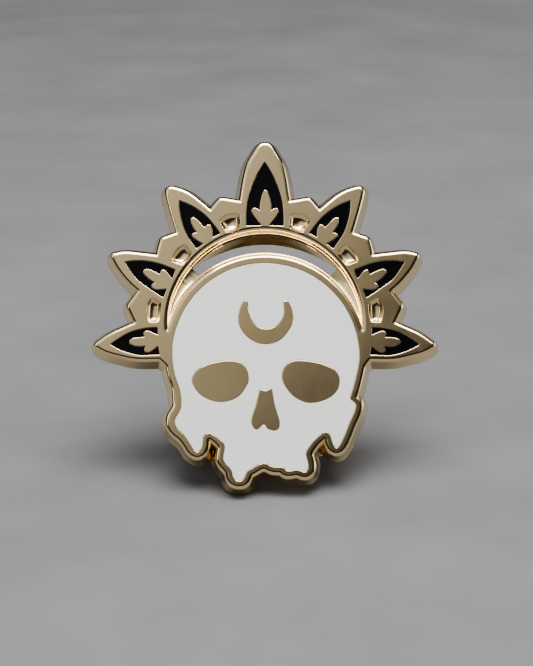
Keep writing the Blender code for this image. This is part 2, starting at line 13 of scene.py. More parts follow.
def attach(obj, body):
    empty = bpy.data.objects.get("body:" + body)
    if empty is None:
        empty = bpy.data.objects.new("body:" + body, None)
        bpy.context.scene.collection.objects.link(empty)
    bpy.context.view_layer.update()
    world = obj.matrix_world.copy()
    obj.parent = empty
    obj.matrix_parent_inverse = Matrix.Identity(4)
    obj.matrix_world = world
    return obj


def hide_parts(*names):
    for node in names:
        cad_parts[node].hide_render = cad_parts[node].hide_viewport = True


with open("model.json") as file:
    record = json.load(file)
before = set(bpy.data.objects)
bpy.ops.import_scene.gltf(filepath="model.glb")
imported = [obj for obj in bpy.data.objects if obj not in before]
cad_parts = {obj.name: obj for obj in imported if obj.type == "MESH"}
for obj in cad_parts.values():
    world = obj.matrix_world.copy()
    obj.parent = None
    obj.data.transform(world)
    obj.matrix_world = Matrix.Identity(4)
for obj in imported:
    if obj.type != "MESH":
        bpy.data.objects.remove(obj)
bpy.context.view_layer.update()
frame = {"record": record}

# ---- where the drawing plane lies ------------------------------------------------------------
LEAN = math.radians(29.0)
TURN = Matrix.Rotation(math.pi / 2 - LEAN, 4, "X")
BACK_MARK = Vector((0.45, 16.35, -2.5)) * 0.001  # the plate_back mount, in the drawing's own frame
mount = next(m for m in frame["record"]["mounts"] if m["name"] == "plate_back")
PIN = Matrix.Translation(Vector(mount["pos_m"]) - (TURN @ BACK_MARK)) @ TURN @ Matrix.Scale(0.001, 4)

# ---- dimensions, millimetres; the drawing is in units of G -----------------------------------
G = 0.1093
STRETCH, NEARER = 1.0139, 9.0e-5
PLATE_T = 2.5
POST_X, POST_Y = 5.35, -8.9
POST_R, POST_L, FLANGE_R = 0.55, 7.6, 2.4
CLUTCH_OFF, DISC_R = 4.2, 5.1
WING_T, HINGE_X, HINGE_Z = 0.4, 2.3, 0.75

TOP_PETAL = [(0, 181), (-4, 180), (-9.5, 172), (-15.5, 161.5), (-19.5, 146.5), (-22, 131.5)]
BUMP_A = [(-23.5, 122.5, 1), (-44, 126, 1), (-54.5, 113.5, 1)]
UPPER_PETAL = [(-64.5, 122), (-76.5, 131), (-88.5, 136), (-95.5, 137), (-97, 134), (-94, 119.5), (-90.5, 107)]
BUMP_B = [(-86, 92, 1), (-102.5, 86, 1), (-105.5, 75, 1), (-106.5, 68.5, 1)]
SIDE_PETAL = [(-123, 70.5), (-140.5, 72), (-152.5, 70, 1), (-145, 56.5), (-134.5, 43.5)]
BUMP_C = [(-124.5, 34.5, 1), (-136, 19, 1), (-128, 2, 1)]
LOW_PETAL = [(-141.5, -4), (-154.5, -10), (-169, -20, 1), (-159.5, -25.5), (-144, -30), (-129, -33), (-104.5, -33, 1)]
FIELDS = {
    "top": (
        [(-19, 99.5, 1), (-19, 110), (-18, 122), (-14.5, 135), (-8, 150.5), (0, 164, 1), (8, 150.5), (14.5, 135), (18, 122), (19, 110), (19, 99.5, 1)],
        [(4.2, 100, 1), (8.2, 104.9), (12.2, 110.5), (13.8, 115.7), (12.2, 117.3), (9, 116.8), (5.8, 114.5, 1), (6.1, 120), (5, 128), (2.1, 134.7), (0.2, 136), (-1.2, 134.4), (-3.4, 128), (-4.9, 120), (-4.6, 114.5, 1), (-7.8, 116.8), (-11.8, 117.3), (-13.4, 115.7), (-11, 109.7), (-7, 104.4), (-3, 100, 1)],
    ),
    "upper": (
        [(-68.5, 76.5, 1), (-79, 92.5), (-84, 107), (-86, 119), (-85.8, 125.4, 1), (-73.5, 120.2), (-64.6, 114.6), (-57.5, 108.5), (-51.2, 101.2), (-44.3, 92, 1)],
        [(-52.3, 87.9, 1), (-52.5, 92.3), (-52.8, 96.8), (-54.4, 99.9), (-56.6, 101), (-58.6, 99.9), (-60.2, 97.9, 1), (-61.9, 99.5), (-66, 103.9), (-70.4, 107.5), (-72.6, 108), (-74, 106.6), (-73.5, 103.5), (-71.8, 98.6), (-69.5, 95), (-67.7, 92.5, 1), (-70.9, 92.2), (-73, 91.5), (-73.3, 90.2), (-72.2, 88.6), (-69.1, 86.1), (-65.5, 83.8), (-61.3, 81.8, 1)],
    ),
    "side": (
        [(-101.7, 27.4, 1), (-116, 37), (-128.5, 46.5), (-140.4, 63.7, 1), (-131, 64.9), (-119.5, 64.7), (-106.6, 62.3), (-96.5, 58.7), (-89.2, 55.7, 1)],
        [(-92.9, 46.5, 1), (-96.5, 51.3), (-99.7, 54.5), (-102.7, 56), (-104.1, 54.5), (-104.6, 50.8, 1), (-109.4, 53.1), (-114.9, 55.5), (-119.5, 56.1), (-121.9, 54.5), (-121.3, 52.2), (-118.1, 48.5), (-113.5, 44.9), (-108.9, 42.6, 1), (-111.7, 41.9), (-113.8, 39.4), (-112.1, 37.1), (-108.9, 35.9), (-103.4, 36), (-97.9, 36.7, 1)],
    ),
    "low": (
        [(-104.9, -29.6, 1), (-126.3, -30.1), (-136.5, -27.8), (-146.2, -24.2), (-155, -19.2, 1), (-146.7, -13.5), (-134, -6.4), (-123.8, -3.6), (-114.6, -2.1), (-107.2, -1.9, 1)],
        [(-106.9, -9.7, 1), (-111.5, -7.9), (-116.1, -6), (-120, -6.1), (-121.5, -8.4), (-119.8, -12, 1), (-128.9, -12.5), (-134, -14), (-136, -16.6), (-134.5, -18.6), (-129.9, -20.7), (-124.8, -21.1), (-118.7, -20.9, 1), (-120.7, -23.7), (-120, -26.5), (-117.1, -27.2), (-113.6, -26), (-110.5, -23.7), (-106.7, -20.7, 1)],
    ),
}
PITS = {
    "top": [(-46, 104.3, 1), (-39.4, 109.5), (-32.5, 111.5), (-25.6, 111, 1), (-24.5, 98.1, 1), (-30, 94.8), (-37.6, 92.8, 1)],
    "upper": [(-93.5, 64.5, 1), (-90.5, 71.5), (-85.5, 78), (-80, 80.8, 1), (-73, 72, 1), (-76.5, 65.5), (-82.5, 60.3, 1)],
    "low": [(-113, 27.6, 1), (-104, 22.5, 1), (-104.6, 12), (-106.2, 3.5, 1), (-116.3, 3.3, 1), (-117.9, 14.8), (-116.5, 22)],
}
WHITE = [
    (-0.5, 62.3), (-32.5, 56.5), (-54.7, 44.5), (-68.3, 32.5), (-77.7, 20.5), (-84.4, 8.5), (-88.9, -3.5), (-91.8, -15.5), (-92.5, -33.5), (-90, -50), (-85, -65),
    (-83.5, -80.5), (-85.5, -87), (-89.5, -93.5), (-90, -98), (-88.5, -102), (-81, -110), (-74, -120.5), (-71, -125), (-67.5, -127), (-64.5, -125),
    (-62.5, -120), (-62, -114), (-60, -109.5), (-55.5, -108), (-51, -110), (-44, -115.5), (-40, -121), (-40.5, -126), (-41.5, -134), (-39.5, -138.5),
    (-36.5, -141.5), (-33, -146.5), (-31.5, -152.5), (-29, -155.5), (-22.5, -155.5), (-20, -151.5), (-17.5, -146.5), (-11, -142.5), (-3.5, -138.5), (1.5, -138.5),
    (8, -141.5), (18.5, -142, 1), (21.5, -145.5), (26.5, -145.5), (31.5, -144.5), (35.5, -145.5), (39.5, -147), (42.5, -145.5), (43.5, -140), (42, -133),
    (41, -128), (44, -122.5), (49, -116), (55.5, -110), (60.5, -106.5), (63, -107.5), (66, -112), (68, -118.5), (71, -123), (74, -121.5),
    (79.5, -111), (84, -99.5), (90, -85.5), (91, -79), (85, -74, 1), (90.5, -54.5), (94.2, -36), (94, -21.5), (90.2, -3.5), (85.4, 8.5),
    (78.7, 20.5), (68.9, 32.5), (55.3, 44.5), (32.3, 56.5),
]
EYE_L = [(-73, -54.5), (-68, -45.5), (-56, -39), (-38.5, -35.5), (-25.5, -37), (-18.5, -44), (-16, -54.5), (-19.5, -63), (-27, -72), (-41.5, -77), (-57.5, -74), (-68, -66)]
EYE_R = [(17, -51.5), (19.5, -42.5), (27.5, -36), (40.5, -35.5), (58.5, -39), (70, -45), (75, -54.5), (72, -66), (62.5, -74), (45, -78), (32, -73.5), (21.5, -63)]
NOSE = [(-5, -64, 1), (0.5, -65.5), (7, -62.5, 1), (10, -80), (15, -100.5), (11.5, -105.5), (2.5, -103.5), (-0.5, -99), (-8.5, -105), (-13.5, -97.5), (-9, -80)]
MOON = [
    (-19.6, 25), (-22.7, 21.3), (-25.2, 15.2), (-26.6, 8), (-25.6, 0), (-21.4, -7.6), (-14.7, -14), (-7.2, -17.9), (0.9, -19.2), (9, -18),
    (16.2, -14.2), (22.4, -7.6), (26.8, 0), (28.3, 7.8), (27.2, 15.2), (24.6, 21.3), (21.6, 25), (19.4, 24.6), (18.7, 21), (19.3, 15.8),
    (18.3, 8.8), (14.8, 2.6), (8.9, -2), (0.6, -3.7), (-6.8, -1.6), (-12.4, 4), (-15.8, 10.6), (-17.2, 16.6), (-16.7, 21.4), (-17.6, 24.6),
]
RING_R = 100.7
CRANIUM_Y, CRANIUM_R = -27.5, 97.1
HORN_Y = -4.6
WINDOW, WINDOW_R = math.radians(50), 115.0
GOLD_LINE = 4.8

# Section of the plate's outer edge: offset from the face's flat edge, height. Rounded front, drafted wall, rounded back.
EDGE = [(-0.1, 0), (-0.03, -0.006), (0.05, -0.022), (0.13, -0.052), (0.205, -0.096), (0.28, -0.16), (0.34, -0.245), (0.38, -0.335), (0.405, -0.42)]
EDGE += [(0.425, -0.54), (0.5, -0.95), (0.6, -1.4), (0.7, -1.8), (0.79, -2.08)]
EDGE += [(0.62 + 0.25 * math.cos(a), -2.25 - 0.25 * math.sin(a)) for a in (math.radians(d) for d in (25, -5, 5, 25, 45, 65, 90)[2:])]


# ---- outlines --------------------------------------------------------------------------------
def opened(point):
    """The drawing shows the face as it looks leaning back: this opens a point out to its true place on the plate."""
    x, y = point[:2]
    return Vector((x * (1 + NEARER * y), y * (STRETCH + NEARER * y)))


def curve(points, step=0.5, closed=True):
    """A smooth line through the points, broken at each corner."""
    n = len(points)
    pos = [opened(p) for p in points]
    sharp = [len(p) > 2 for p in points]
    line = []
    for i in range(n if closed else n - 1):
        b, c = pos[i], pos[(i + 1) % n]
        a = b - (c - b) if sharp[i] or (not closed and i == 0) else pos[i - 1]
        d = c + (c - b) if sharp[(i + 1) % n] or (not closed and i == n - 2) else pos[(i + 2) % n]
        t1 = max((b - a).length, 1e-6) ** 0.5
        t2 = t1 + max((c - b).length, 1e-6) ** 0.5
        t3 = t2 + max((d - c).length, 1e-6) ** 0.5
        steps = max(2, round((c - b).length / step))
        for k in range(steps):
            t = t1 + (t2 - t1) * k / steps
            a1 = a * ((t1 - t) / t1) + b * (t / t1)
            a2 = b * ((t2 - t) / (t2 - t1)) + c * ((t - t1) / (t2 - t1))
            a3 = c * ((t3 - t) / (t3 - t2)) + d * ((t - t2) / (t3 - t2))
            b1 = a1 * ((t2 - t) / t2) + a2 * (t / t2)
            b2 = a2 * ((t3 - t) / (t3 - t1)) + a3 * ((t - t1) / (t3 - t1))
            line.append(tuple(b1 * ((t2 - t) / (t2 - t1)) + b2 * ((t - t1) / (t2 - t1))))
    if not closed:
        line.append(tuple(pos[-1]))
    return line


def mirrored(points):
    return [(-p[0],) + tuple(p[1:]) for p in reversed(points)]


def even_loop(line, step):
    """The closed line with evenly spaced points, counterclockwise."""
    p = np.array(line, float)
    q = np.vstack([p, p[:1]])
    length = np.concatenate([[0], np.cumsum(np.hypot(*np.diff(q, axis=0).T))])
    n = int(round(length[-1] / step))
    at = np.arange(n) * length[-1] / n
    p = np.stack([np.interp(at, length, q[:, k]) for k in (0, 1)], 1)
    area = 0.5 * (p[:, 0] * np.roll(p[:, 1], -1) - np.roll(p[:, 0], -1) * p[:, 1]).sum()
    return p if area > 0 else p[::-1].copy()


def eased(p, radius, step):
    """The closed line with its corners eased to about this radius."""
    reach = int(4 * radius / step) + 1
    weight = np.exp(-0.5 * (np.arange(-reach, reach + 1) * step / radius) ** 2)
    weight /= weight.sum()
    return sum(w * np.roll(p, k, axis=0) for w, k in zip(weight, range(-reach, reach + 1)))


def outline(points, radius=0.9, step=1.0):
    """Points and outward normals of a closed outline through the points."""
    fine = eased(even_loop(points if len(points) > 300 else curve(points), 0.25), radius, 0.25)
    p = even_loop(fine, step)
    return p, normals_of(p)


def normals_of(p):
    t = np.roll(p, -1, 0) - np.roll(p, 1, 0)
    t /= np.maximum(np.hypot(t[:, 0], t[:, 1]), 1e-12)[:, None]
    return np.stack([t[:, 1], -t[:, 0]], 1)


def nearest(q, p):
    a = p
    ab = np.roll(p, -1, 0) - a
    size = np.maximum((ab * ab).sum(1), 1e-12)
    best = np.empty_like(q)
    for i in range(0, len(q), 300):
        part = q[i : i + 300, None, :]
        t = np.clip(((part - a) * ab).sum(2) / size, 0, 1)
        foot = a + t[..., None] * ab
        k = ((foot - part) ** 2).sum(2).argmin(1)
        best[i : i + 300] = foot[np.arange(len(k)), k]
    return best


def pushed(loop, d):
    """The outline moved out by d; the points that meet in an inside corner become one point there."""
    p, out = loop
    if abs(d) < 1e-9:
        return p.copy()
    q = p + out * d
    live = np.arange(len(p))
    for _ in range(80):
        away = q[live] - nearest(q[live], p)
        foot = q[live] - away
        size = np.hypot(away[:, 0], away[:, 1])
        short = size < abs(d) * 0.9995
        if not short.any():
            break
        live, foot, away, size = live[short], foot[short], away[short], size[short]
        q[live] = foot + away / np.maximum(size, 1e-9)[:, None] * abs(d)
    slid = np.hypot(*(q - p).T) > abs(d) * 1.01
    if slid.any() and not slid.all():
        first = int(np.flatnonzero(~slid)[0])
        run = []
        for k in range(first, first + len(p) + 1):
            j = k % len(p)
            if slid[j]:
                run.append(j)
            elif run:
                q[run] = q[run].mean(0)
                run = []
    return q


def arc(centre, radius, start, end, n):
    return [
        (centre[0] + radius * math.cos(start + (end - start) * k / n), centre[1] + radius * math.sin(start + (end - start) * k / n))
        for k in range(n + 1)
    ]


def slot_line(grow, n):
    """The slot's edge with its walls moved in by grow, counterclockwise. Where the walls meet, the horns end in a point."""
    ring, skull, c = RING_R - grow, CRANIUM_R + grow, CRANIUM_Y
    end = max(HORN_Y, (ring * ring - skull * skull + c * c) / (2 * c))
    a = math.sqrt(ring * ring - end * end)
    b = min(math.sqrt(skull * skull - (end - c) ** 2), a)
    turn, back = math.atan2(end, a), math.atan2(end - c, b)
    tip = [(math.cos(math.pi * (1 + k / 8)) * (a - b) / 2, end + math.sin(math.pi * (1 + k / 8)) * (a - b) / 2) for k in range(1, 8)]
    left = [(x - (a + b) / 2, y) for x, y in tip]
    right = [(x + (a + b) / 2, y) for x, y in tip]
    return arc((0, 0), ring, turn, math.pi - turn, n) + left + arc((0, c), skull, math.pi - back, back, n) + right


def window_line(t, skull_in, n):
    """The edge of the window, the middle of the slot that goes right through, at t of the way down its outer wall."""
    ring, skull, c = RING_R - 7.2, CRANIUM_R + skull_in, CRANIUM_Y
    outer = []
    for k in range(n + 1):
        a = WINDOW + (math.pi - 2 * WINDOW) * k / n
        top = max(WINDOW_R, math.sqrt(ring * ring - (c * math.cos(a)) ** 2) - c * math.sin(a))
        r = top + (WINDOW_R - 0.6 - top) * t
        outer.append((r * math.cos(a), c + r * math.sin(a)))
    return outer + arc((0, c), skull, math.pi - WINDOW, WINDOW, n)


# ---- mesh helpers ----------------------------------------------------------------------------
class Solid:
    """Collects faces, in millimetres on the drawing's frame, and makes one mesh of them."""

    def __init__(self):
        self.verts, self.faces = [], []

    def points(self, flat, z):
        start = len(self.verts)
        zs = np.broadcast_to(z(flat) if callable(z) else z, (len(flat),))
        self.verts += [(x * G, y * G, h) for (x, y), h in zip(flat, zs)]
        return list(range(start, start + len(flat)))

    def band(self, a, b):
        n = len(a)
        self.faces += [(a[j], a[(j + 1) % n], b[(j + 1) % n], b[j]) for j in range(n)]

    def loft(self, rings, inward=False):
        rows = [self.points(flat, z) for flat, z in rings]
        for a, b in zip(rows, rows[1:]):
            self.band(b, a) if inward else self.band(a, b)
        return rows

    def sheet(self, outer, holes, z, up=True):
        """A flat area between one loop and the holes in it."""
        coords, edges = [], []
        for loop in [outer] + holes:
            keep = [p for p, q in zip(loop, np.roll(loop, -1, 0)) if abs(p[0] - q[0]) + abs(p[1] - q[1]) > 1e-6]
            start = len(coords)
            coords += [Vector((float(x), float(y))) for x, y in keep]
            edges += [(start + k, start + (k + 1) % len(keep)) for k in range(len(keep))]
        verts, _, faces, *_ = delaunay_2d_cdt(coords, edges, [], 0, 1e-6)
        flat = np.array([(v.x, v.y) for v in verts])
        centres = np.array([flat[list(f)].mean(0) for f in faces])
        a = np.array([coords[i] for i, _ in edges])
        b = np.array([coords[j] for _, j in edges])
        inside = np.zeros(len(centres), int)
        for i in range(0, len(centres), 400):
            x, y = centres[i : i + 400, 0, None], centres[i : i + 400, 1, None]
            spans = (a[:, 1] > y) != (b[:, 1] > y)
            cross = a[:, 0] + (y - a[:, 1]) / np.where(b[:, 1] == a[:, 1], 1e-12, b[:, 1] - a[:, 1]) * (b[:, 0] - a[:, 0])
            inside[i : i + 400] = (spans & (cross > x)).sum(1)
        ids = self.points(flat, z)
        for f, count in zip(faces, inside):
            if count % 2:
                self.faces.append([ids[k] for k in (f if up else reversed(f))])

    def mesh(self, name, angle=38):
        bm = bmesh.new()
        vs = [bm.verts.new(v) for v in self.verts]
        for f in self.faces:
            corners = []
            for k in f:
                if not corners or vs[k] is not corners[-1]:
                    corners.append(vs[k])
            if len(set(corners)) == len(corners) > 2:
                bm.faces.new(corners)
        bmesh.ops.remove_doubles(bm, verts=bm.verts, dist=2e-4)
        bmesh.ops.dissolve_degenerate(bm, edges=bm.edges, dist=1e-5)
        bmesh.ops.recalc_face_normals(bm, faces=bm.faces)
        mesh = bpy.data.meshes.new(name)
        bm.to_mesh(mesh)
        bm.free()
        mesh.shade_smooth()
        mesh.set_sharp_from_angle(angle=math.radians(angle))
        return mesh


def place(name, mesh, matrix, mat, body, node):
    mesh.transform(matrix)
    mesh.materials.append(mat)
    obj = bpy.data.objects.new(name, mesh)
    bpy.context.scene.collection.objects.link(obj)
    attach(obj, body)
    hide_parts(node)
    return obj


# ---- node materials --------------------------------------------------------------------------
class Nodes:
    def __init__(self, name):
        self.mat = bpy.data.materials.new(name)
        self.mat.use_nodes = True
        self.tree = self.mat.node_tree
        self.bsdf = self.tree.nodes["Principled BSDF"]
        self.coord = self.tree.nodes.new("ShaderNodeTexCoord").outputs["Object"]

    def node(self, kind, inputs=None, **props):
        n = self.tree.nodes.new(kind)
        for k, v in props.items():
            setattr(n, k, v)
        for k, v in (inputs or {}).items():
            if hasattr(v, "is_output"):
                self.tree.links.new(v, n.inputs[k])
            else:
                n.inputs[k].default_value = v
        return n

    def noise(self, scale, detail=3.0, rough=0.55, vector=None, stretch=None, turn=0.0):
        v = vector or self.coord
        if stretch:
            v = self.node("ShaderNodeMapping", {"Vector": v, "Scale": stretch, "Rotation": (0, 0, turn)}).outputs[0]
        return self.node("ShaderNodeTexNoise", {"Vector": v, "Scale": scale, "Detail": detail, "Roughness": rough}).outputs["Fac"]

    def ramp(self, fac, low, high, out_low=0.0, out_high=1.0):
        return self.node("ShaderNodeMapRange", {"Value": fac, "From Min": low, "From Max": high, "To Min": out_low, "To Max": out_high}).outputs[0]

    def mix(self, fac, a, b):
        n = self.node("ShaderNodeMix", data_type="RGBA")
        self.tree.links.new(fac, n.inputs[0])
        for k, v in ((6, a), (7, b)):
            if hasattr(v, "is_output"):
                self.tree.links.new(v, n.inputs[k])
            else:
                n.inputs[k].default_value = (*v, 1)
        return n.outputs[2]

    def math(self, op, a, b):
        n = self.node("ShaderNodeMath", operation=op)
        for k, v in enumerate((a, b)):
            if hasattr(v, "is_output"):
                self.tree.links.new(v, n.inputs[k])
            else:
                n.inputs[k].default_value = v
        return n.outputs[0]

    def bump(self, height, strength, distance, normal=None):
        n = self.node("ShaderNodeBump", {"Height": height, "Strength": strength, "Distance": distance})
        if normal:
            self.tree.links.new(normal, n.inputs["Normal"])
        return n.outputs[0]

    def set(self, **values):
        for k, v in values.items():
            socket = self.bsdf.inputs[k.replace("_", " ")]
            if hasattr(v, "is_output"):
                self.tree.links.new(v, socket)
            else:
                socket.default_value = v
        return self.mat


def gold(name, base, deep, rough, satin=0.0):
    """Polished plating: a slow drift of tone, faint haze from handling, hairline polishing marks and a soft waviness."""
    m = Nodes(name)
    drift = m.ramp(m.noise(130.0, 2.0), 0.3, 0.7)
    fleck = m.ramp(m.noise(1500.0, 2.0, 0.6), 0.62, 0.80)
    color = m.mix(m.math("ADD", m.math("MULTIPLY", drift, 0.7), m.math("MULTIPLY", fleck, 0.3)), base, deep)
    line_a = m.noise(700.0, 1.0, 0.5, stretch=(9.0, 0.35, 0.35), turn=0.12)
    line_b = m.noise(900.0, 1.0, 0.5, stretch=(7.0, 0.5, 0.5), turn=1.1)
    haze = m.noise(340.0, 3.0, 0.6)
    r = m.math("ADD", m.ramp(haze, 0.3, 0.7, rough - 0.02, rough + 0.03), m.ramp(line_a, 0.55, 0.75, 0.0, 0.03))
    wave = m.bump(m.noise(190.0, 1.0, 0.4), 0.30, 0.00003)
    marks = m.bump(m.math("ADD", line_a, m.math("MULTIPLY", line_b, 0.4)), 0.10, 0.0000028, wave)
    if satin:
        marks = m.bump(m.noise(5200.0, 3.0, 0.6), satin, 0.00003, marks)
    return m.set(Base_Color=color, Metallic=1.0, Roughness=r, Normal=marks)


def enamel(name, base, other, rough, specular, coat):
    """Ground and polished hard enamel: glassy, with a faint mottle and a few pinpoint specks."""
    m = Nodes(name)
    tone = m.ramp(m.noise(120.0, 3.0), 0.3, 0.72)
    speck = m.ramp(m.noise(2600.0, 2.0, 0.7), 0.72, 0.80)
    color = m.mix(m.math("MAXIMUM", m.math("MULTIPLY", tone, 0.5), m.math("MULTIPLY", speck, 0.8)), base, other)
    r = m.ramp(m.noise(700.0, 4.0, 0.65), 0.3, 0.75, rough * 0.85, rough * 1.3)
    wave = m.bump(m.noise(210.0, 2.0, 0.5), 0.20, 0.00003)
    return m.set(
        Base_Color=color, Roughness=r, Normal=wave, Specular_IOR_Level=specular, Coat_Weight=coat, Coat_Roughness=0.08
    )


GOLD = gold("plated_gold", (0.945, 0.728, 0.385), (0.895, 0.668, 0.335), 0.13)
BACK_GOLD = gold("plated_gold_blasted", (0.82, 0.62, 0.36), (0.74, 0.54, 0.29), 0.40, 0.22)
CLUTCH = gold("clutch_metal", (0.86, 0.65, 0.36), (0.79, 0.58, 0.30), 0.22)
POST = gold("post_metal", (0.86, 0.67, 0.40), (0.80, 0.60, 0.34), 0.22)
WHITE_ENAMEL = enamel("white_enamel", (0.80, 0.80, 0.785), (0.765, 0.765, 0.745), 0.14, 0.3, 0.0)
BLACK_ENAMEL = enamel("black_enamel", (0.0012, 0.0012, 0.0018), (0.003, 0.003, 0.004), 0.12, 0.06, 0.0)

# ---- the struck plate ------------------------------------------------------------------------
EASE = 0.055 / G  # rounding of the metal line where it meets the enamel
INSET = 0.22  # a flat strip beside each rounding, so that the flat face stays flat
FLAT = 0.1 / G + INSET  # where the flat face ends, inside the outline

white = outline(WHITE, 0.8)
line = GOLD_LINE + 1.6 * np.clip((-white[0][:, 0] - 76) / 8, 0, 1) * np.clip((-60 - white[0][:, 1]) / 12, 0, 1)
base_p, base_n = outline(WHITE, 0.8, 0.5)
width = GOLD_LINE + 1.6 * np.clip((-base_p[:, 0] - 76) / 8, 0, 1) * np.clip((-60 - base_p[:, 1]) / 12, 0, 1)
jaw_all = base_p + base_n * width[:, None]
for _ in range(60):
    foot = nearest(jaw_all, base_p)
    away = jaw_all - foot
    size = np.hypot(away[:, 0], away[:, 1])
    short = size < width * 0.999
    if not short.any():
        break
    jaw_all[short] = foot[short] + away[short] / size[short][:, None] * width[short][:, None]
order = np.arange(len(base_p))
top = int(base_p[:, 1].argmax())
order = np.roll(order, -top)
jaw = [tuple(jaw_all[k]) for k in order if base_p[k, 1] < -40]
halo_left = TOP_PETAL + BUMP_A + UPPER_PETAL + BUMP_B + SIDE_PETAL + BUMP_C + LOW_PETAL
halo = curve(mirrored(halo_left)[:-1] + halo_left, closed=False)
face = outline(halo + jaw, 1.0)

plate = Solid()
outer_rings = [(pushed(face, off / G), z) for off, z in EDGE]
holes = []


def well(loop, section, floor_z, up_holes=()):
    """Walls and floor of a pocket: section is (offset outwards, height) from the rim down."""
    rings = [(pushed(loop, off), z) for off, z in section]
    holes.append(rings[0][0])
    plate.loft(rings, inward=True)
    plate.sheet(rings[-1][0], list(up_holes), floor_z)
    return rings


RIM = [(EASE + INSET, 0.0)] + [(EASE * (1 - math.sin(a)), -0.045 * (1 - math.cos(a))) for a in (math.radians(d) for d in (0, 25, 50, 72, 90))]
DEPTH = -0.35

plate.loft([(pushed(face, -FLAT), 0.0)] + outer_rings)

# Islands stand in the white pocket.
islands = {"eye_left": outline(EYE_L), "eye_right": outline(EYE_R), "nose": outline(NOSE, 0.8), "moon": outline(MOON, 0.6, 0.8)}
feet = []
for key, loop in islands.items():
    section = [(-EASE - INSET, 0.0)] + [(-EASE * (1 - math.sin(a)), -0.045 * (1 - math.cos(a))) for a in (math.radians(d) for d in (0, 25, 50, 72, 90))] + [(0.0, DEPTH)]
    rings = [(pushed(loop, off), z) for off, z in section]
    plate.loft(rings)
    plate.sheet(rings[0][0], [], 0.0)
    feet.append(rings[-1][0])
well(white, RIM + [(0.0, DEPTH)], DEPTH, feet)

fields = {}
for key, (field, leaf) in FIELDS.items():
    for side in ("left", "right"):
        if key == "top" and side == "right":
            continue
        corners = field + leaf
        name = "petal_top" if key == "top" else f"petal_{key}_{side}"
        fields[name] = outline(mirrored(corners) if side == "right" else corners, 0.6, 0.8)
        well(fields[name], RIM + [(0.0, DEPTH)], DEPTH)
for key, corners in PITS.items():
    for side in ("left", "right"):
        loop = outline(mirrored(corners) if side == "right" else corners, 1.5, 0.8)
        section = [(1.0, 0.0), (0.8, 0.0), (0.45, -0.02), (0.1, -0.06), (-0.4, -0.13), (-1.0, -0.2), (-1.8, -0.28), (-2.7, -0.36), (-3.6, -0.41)]
        well(loop, section, -0.41)

# The crescent slot, right through.
# Its horns are blind and run out towards their tips; the window's outer wall slopes from a narrow ledge.
def run_out(flat, z):
    far = np.clip((np.asarray(flat)[:, 1] - HORN_Y + 4) / 54, 0, 1)
    return z * (0.10 + 0.90 * far**0.75)


groove_rings = []
for off, z in [(-FLAT * G, 0.0)] + [e for e in EDGE if e[1] > -0.9] + [(0.5, -0.92), (0.56, -0.98), (0.66, -1.0)]:
    flat = np.array(slot_line(off / G, 220))
    groove_rings.append((flat, run_out(flat, z)))
plate.loft(groove_rings, inward=True)
holes.append(groove_rings[0][0])
window_rings = []
for t, grow, z in [(-0.06, 6.2, -1.0), (0.0, 6.4, -1.02), (0.05, 6.7, -1.1), (0.14, 7.0, -1.28), (0.5, 7.3, -1.8), (0.9, 7.6, -2.38), (1.0, 7.7, -2.46), (0.97, 7.5, EDGE[-1][1])]:
    flat = np.array(window_line(t, grow, 220))
    window_rings.append((flat, run_out(flat, z) if z > -1.01 else z))
plate.loft(window_rings, inward=True)
plate.sheet(groove_rings[-1][0], [window_rings[0][0]], lambda flat: run_out(flat, -1.0))

plate.sheet(pushed(face, -FLAT), holes, 0.0)
back_z = EDGE[-1][1]
plate.sheet(outer_rings[-1][0], [window_rings[-1][0]], back_z, up=False)
plate_mesh = plate.mesh("base_plate_struck")
plate_obj = place("base_plate_struck", plate_mesh, PIN, GOLD, "plate", "base_plate")
plate_mesh.materials.append(BACK_GOLD)
for v in plate_mesh.vertices:  # the jaw rests on the surface
    v.co.z = max(v.co.z, 0.0)
inv = PIN.inverted()
back_dir = (TURN.to_3x3() @ Vector((0, 0, -1))).normalized()
for poly in plate_mesh.polygons:
    if poly.normal.dot(back_dir) > 0.999 and (inv @ poly.center).z < back_z + 0.01:
        poly.material_index = 1


# ---- enamel ----------------------------------------------------------------------------------
def fill(name, loop, inner, mat, node):
    s = Solid()
    skin = [(-0.30, -0.30), (-0.30, -0.030), (-0.45, -0.014), (-0.8, -0.013), (-1.5, -0.017), (-2.4, -0.019)]
    rings = [(pushed(loop, off), z) for off, z in skin]
    rows = s.loft(rings[::-1])
    inner_rings = []
    for island in inner:
        r = [(pushed(island, -off), z) for off, z in skin]
        s.loft(r[::-1], inward=True)
        inner_rings.append(r)
    s.sheet(rings[-1][0], [r[-1][0] for r in inner_rings], skin[-1][1])
    s.sheet(rings[0][0], [r[0][0] for r in inner_rings], skin[0][1], up=False)
    return place(name, s.mesh(name, 50), PIN, mat, "plate", node)


fill("white_enamel_fill", white, list(islands.values()), WHITE_ENAMEL, "white_enamel")
for name, loop in fields.items():
    fill("black_fill_" + name, loop, [], BLACK_ENAMEL, "black_enamel_" + name)


# ---- posts and clutches ----------------------------------------------------------------------
def smooth_profile(points, per=6, closed=True):
    return [tuple(p) for p in curve(points, 0.0001, closed)][:: 1] if per is None else resample(points, per, closed)


